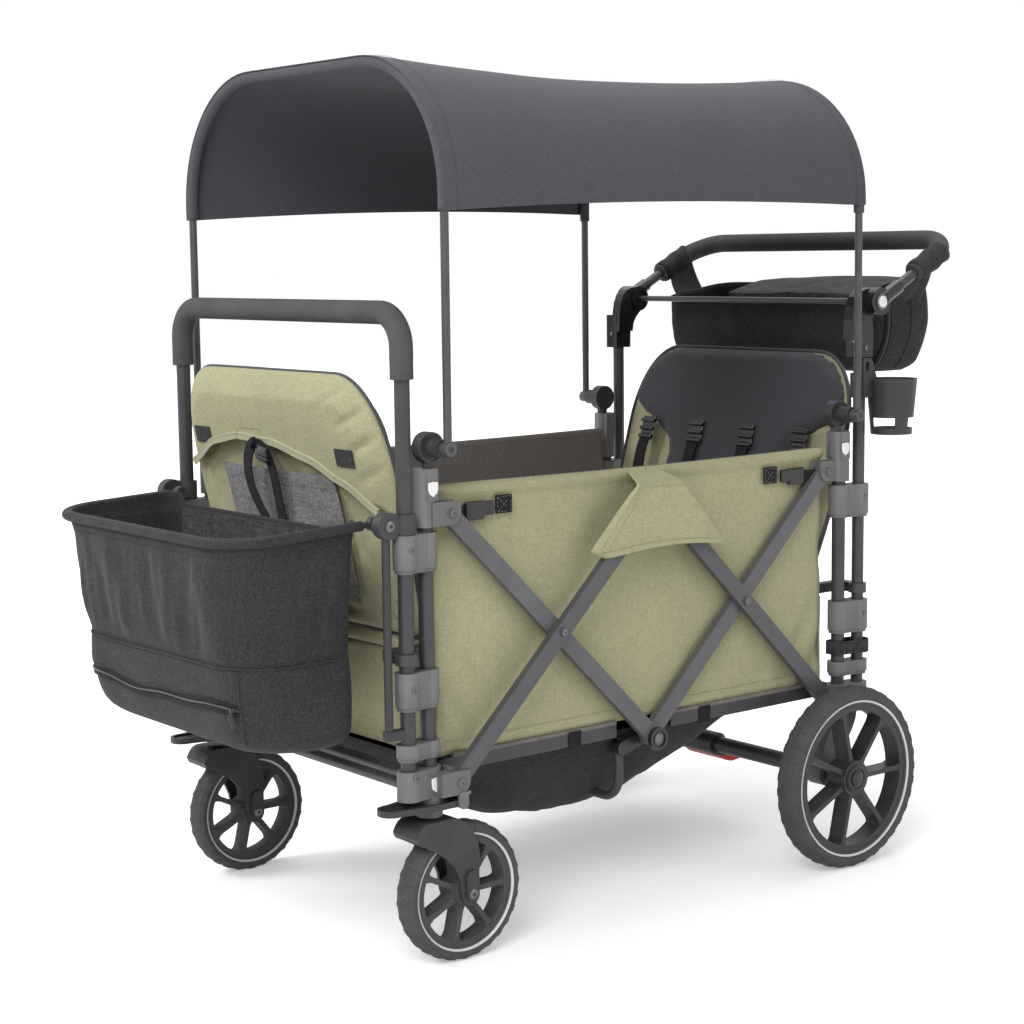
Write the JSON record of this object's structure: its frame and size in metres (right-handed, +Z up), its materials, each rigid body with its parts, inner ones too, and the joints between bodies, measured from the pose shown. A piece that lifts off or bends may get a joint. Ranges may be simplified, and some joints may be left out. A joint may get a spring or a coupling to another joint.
{
  "type": "stroller wagon",
  "caption": "Folding stroller wagon with a sewn tub on a scissor frame, large rear wheels, swivel casters, a canopy on bows, a push handle, a pull handle and a front basket.",
  "frame": {"origin": "on the floor under the middle of the whole wagon", "axes": "+Z up, -Y to the front with the pull handle and the casters, +X to the wagon's left side"},
  "size_m": [0.74, 1.4324, 1.293],
  "materials": {
    "frame_tube": "satin powder coat",
    "moulding": "fine grain",
    "foam": "matt foam",
    "green_cloth": "woven",
    "grey_cloth": "woven",
    "black_cloth": "woven",
    "tyre": "matt",
    "wheel_plastic": "satin",
    "red_plastic": "gloss",
    "pale_plastic": "gloss"
  },
  "bodies": {
    "rear_frame": {"rear_uprights": "frame_tube", "rear_sleeves": "moulding", "rear_corner_brackets": "moulding", "rear_axle_beam": "frame_tube", "rear_cross_bar": "frame_tube", "handle_housings": "moulding", "handle_stretcher": "frame_tube", "cup_holder": "moulding", "tub": "green_cloth", "hinge_flaps": "green_cloth", "under_sling": "black_cloth", "rear_seat_rod": "frame_tube"},
    "brake": {"brake_pedal": "red_plastic"},
    "wheel_left": {"rear_wheel_left": "wheel_plastic", "rear_tyre_left": "tyre"},
    "wheel_right": {"rear_wheel_right": "wheel_plastic", "rear_tyre_right": "tyre"},
    "push_handle": {"push_handle_tube": "frame_tube", "push_handle_grip": "foam", "push_handle_knuckles": "moulding", "console_bag": "black_cloth"},
    "press_left": {"button_left": "pale_plastic"},
    "press_right": {"button_right": "pale_plastic"},
    "rear_low_arms": {"rear_arms_low": "frame_tube"},
    "rear_high_arms": {"rear_arms_high": "frame_tube"},
    "front_low_arms": {"front_arms_low": "frame_tube"},
    "front_high_arms": {"front_arms_high": "frame_tube"},
    "rear_slider": {"rear_posts": "frame_tube", "rear_post_brackets": "moulding", "rear_bow_hubs": "moulding", "canopy_rear_cloth": "grey_cloth"},
    "front_slider": {"front_posts": "frame_tube", "front_post_brackets": "moulding", "front_bow_hubs": "moulding", "canopy_front_cloth": "grey_cloth"},
    "rear_canopy_bow": {"rear_bow": "frame_tube"},
    "front_canopy_bow": {"front_bow": "frame_tube"},
    "centre_foot": {"centre_hubs": "moulding", "centre_foot_bar": "frame_tube"},
    "rear_floor": {"rear_floor_rails": "frame_tube", "rear_floor_board": "black_cloth"},
    "front_floor": {"front_floor_rails": "frame_tube", "front_floor_board": "black_cloth"},
    "front_frame": {"front_handle_tube": "frame_tube", "front_handle_grip": "foam", "front_sleeves": "moulding", "front_corner_brackets": "moulding", "front_cross_bars": "frame_tube", "basket_mounts": "moulding", "front_seat_rod": "frame_tube", "front_basket": "black_cloth"},
    "basket_frame": {"basket_bow": "frame_tube"},
    "front_seat": {"front_seat_back": "green_cloth"},
    "rear_seat": {"rear_seat_back": "grey_cloth"},
    "caster_left": {"caster_fork_left": "moulding"},
    "caster_right": {"caster_fork_right": "moulding"},
    "front_wheel_left": {"caster_wheel_left": "tyre"},
    "front_wheel_right": {"caster_wheel_right": "tyre"},
    "pedal_left": {"lock_pedal_left": "moulding"},
    "pedal_right": {"lock_pedal_right": "moulding"}
  },
  "joints": [
    {"name": "fold", "type": "hinge", "parent": "rear_frame", "child": "rear_low_arms", "pos_m": [0, 0.40283, 0.268], "axis": [-1, 0, 0], "range_deg": [0, 29], "deforming": ["tub", "hinge_flaps", "under_sling"]},
    {"name": "front_low_arm_turn", "type": "hinge", "parent": "rear_low_arms", "child": "front_low_arms", "pos_m": [0, 0.01183, 0.652], "axis": [-1, 0, 0], "range_deg": [-58, 0]},
    {"name": "front_frame_turn", "type": "hinge", "parent": "front_low_arms", "child": "front_frame", "pos_m": [0, -0.37917, 0.268], "axis": [-1, 0, 0], "range_deg": [0, 29]},
    {"name": "front_high_arm_turn", "type": "hinge", "parent": "front_low_arms", "child": "front_high_arms", "pos_m": [0, -0.18367, 0.46], "axis": [-1, 0, 0], "range_deg": [0, 58]},
    {"name": "front_post_lift", "type": "hinge", "parent": "front_high_arms", "child": "front_slider", "pos_m": [0, -0.37917, 0.652], "axis": [-1, 0, 0], "range_deg": [-29, 0]},
    {"name": "rear_high_arm_turn", "type": "hinge", "parent": "rear_low_arms", "child": "rear_high_arms", "pos_m": [0, 0.20733, 0.46], "axis": [-1, 0, 0], "range_deg": [-58, 0]},
    {"name": "rear_post_lift", "type": "hinge", "parent": "rear_high_arms", "child": "rear_slider", "pos_m": [0, 0.40283, 0.652], "axis": [-1, 0, 0], "range_deg": [0, 29]},
    {"name": "centre_foot_turn", "type": "hinge", "parent": "rear_high_arms", "child": "centre_foot", "pos_m": [0, 0.01183, 0.268], "axis": [-1, 0, 0], "range_deg": [0, 29]},
    {"name": "rear_floor_lift", "type": "hinge", "parent": "rear_frame", "child": "rear_floor", "pos_m": [0, 0.40283, 0.283], "axis": [-1, 0, 0], "range_deg": [0, 69.6]},
    {"name": "front_floor_lift", "type": "hinge", "parent": "front_frame", "child": "front_floor", "pos_m": [0, -0.37917, 0.283], "axis": [1, 0, 0], "range_deg": [0, 69.6]},
    {"name": "front_canopy_swing", "type": "hinge", "parent": "front_slider", "child": "front_canopy_bow", "pos_m": [0, -0.40417, 0.745], "axis": [1, 0, 0], "range_deg": [-80, 0], "deforming": ["canopy_front_cloth"]},
    {"name": "rear_canopy_swing", "type": "hinge", "parent": "rear_slider", "child": "rear_canopy_bow", "pos_m": [0, 0.42783, 0.745], "axis": [1, 0, 0], "range_deg": [0, 56], "deforming": ["canopy_rear_cloth"]},
    {"name": "front_seat_fold", "type": "hinge", "parent": "front_frame", "child": "front_seat", "pos_m": [0, -0.38617, 0.452], "axis": [1, 0, 0], "range_deg": [-60, 0]},
    {"name": "rear_seat_fold", "type": "hinge", "parent": "rear_frame", "child": "rear_seat", "pos_m": [0, 0.40983, 0.452], "axis": [-1, 0, 0], "range_deg": [-64, 0]},
    {"name": "basket_lift", "type": "hinge", "parent": "front_frame", "child": "basket_frame", "pos_m": [0, -0.48217, 0.642], "axis": [-1, 0, 0], "range_deg": [0, 75], "deforming": ["front_basket"]},
    {"name": "push_handle_angle", "type": "hinge", "parent": "rear_frame", "child": "push_handle", "pos_m": [0, 0.50983, 0.927], "axis": [1, 0, 0], "range_deg": [0, 45]},
    {"name": "button_press_left", "type": "slide", "parent": "push_handle", "child": "press_left", "axis": [-1, 0, 0], "range_m": [0, 0.003], "stiffness_N_per_m": 300},
    {"name": "button_press_right", "type": "slide", "parent": "push_handle", "child": "press_right", "axis": [1, 0, 0], "range_m": [0, 0.003], "stiffness_N_per_m": 300},
    {"name": "brake_press", "type": "hinge", "parent": "rear_frame", "child": "brake", "pos_m": [0, 0.40083, 0.15], "axis": [1, 0, 0], "range_deg": [-20, 0]},
    {"name": "rear_wheel_left_spin", "type": "hinge", "parent": "rear_frame", "child": "wheel_left", "pos_m": [0.348, 0.40083, 0.15], "axis": [1, 0, 0], "continuous": true},
    {"name": "rear_wheel_right_spin", "type": "hinge", "parent": "rear_frame", "child": "wheel_right", "pos_m": [-0.348, 0.40083, 0.15], "axis": [1, 0, 0], "continuous": true},
    {"name": "caster_left_swivel", "type": "hinge", "parent": "front_frame", "child": "caster_left", "pos_m": [0.292, -0.41217, 0.23], "axis": [0, 0, 1], "continuous": true},
    {"name": "caster_right_swivel", "type": "hinge", "parent": "front_frame", "child": "caster_right", "pos_m": [-0.292, -0.41217, 0.23], "axis": [0, 0, 1], "continuous": true},
    {"name": "front_wheel_left_spin", "type": "hinge", "parent": "caster_left", "child": "front_wheel_left", "pos_m": [0.292, -0.36217, 0.1015], "axis": [1, 0, 0], "continuous": true},
    {"name": "front_wheel_right_spin", "type": "hinge", "parent": "caster_right", "child": "front_wheel_right", "pos_m": [-0.292, -0.36217, 0.1015], "axis": [1, 0, 0], "continuous": true},
    {"name": "pedal_left_press", "type": "hinge", "parent": "front_frame", "child": "pedal_left", "pos_m": [0.292, -0.37517, 0.237], "axis": [1, 0, 0], "range_deg": [0, 6]},
    {"name": "pedal_right_press", "type": "hinge", "parent": "front_frame", "child": "pedal_right", "pos_m": [-0.292, -0.37517, 0.237], "axis": [1, 0, 0], "range_deg": [0, 6]}
  ],
  "couplings": [
    {"joint": "front_low_arm_turn", "follows": "fold", "ratio": -2},
    {"joint": "front_frame_turn", "follows": "fold", "ratio": 1},
    {"joint": "front_high_arm_turn", "follows": "fold", "ratio": 2},
    {"joint": "front_post_lift", "follows": "fold", "ratio": -1},
    {"joint": "rear_high_arm_turn", "follows": "fold", "ratio": -2},
    {"joint": "rear_post_lift", "follows": "fold", "ratio": 1},
    {"joint": "centre_foot_turn", "follows": "fold", "ratio": 1},
    {"joint": "rear_floor_lift", "follows": "fold", "ratio": 2.4},
    {"joint": "front_floor_lift", "follows": "fold", "ratio": 2.4},
    {"joint": "rear_canopy_swing", "follows": "front_canopy_swing", "ratio": -0.7}
  ]
}
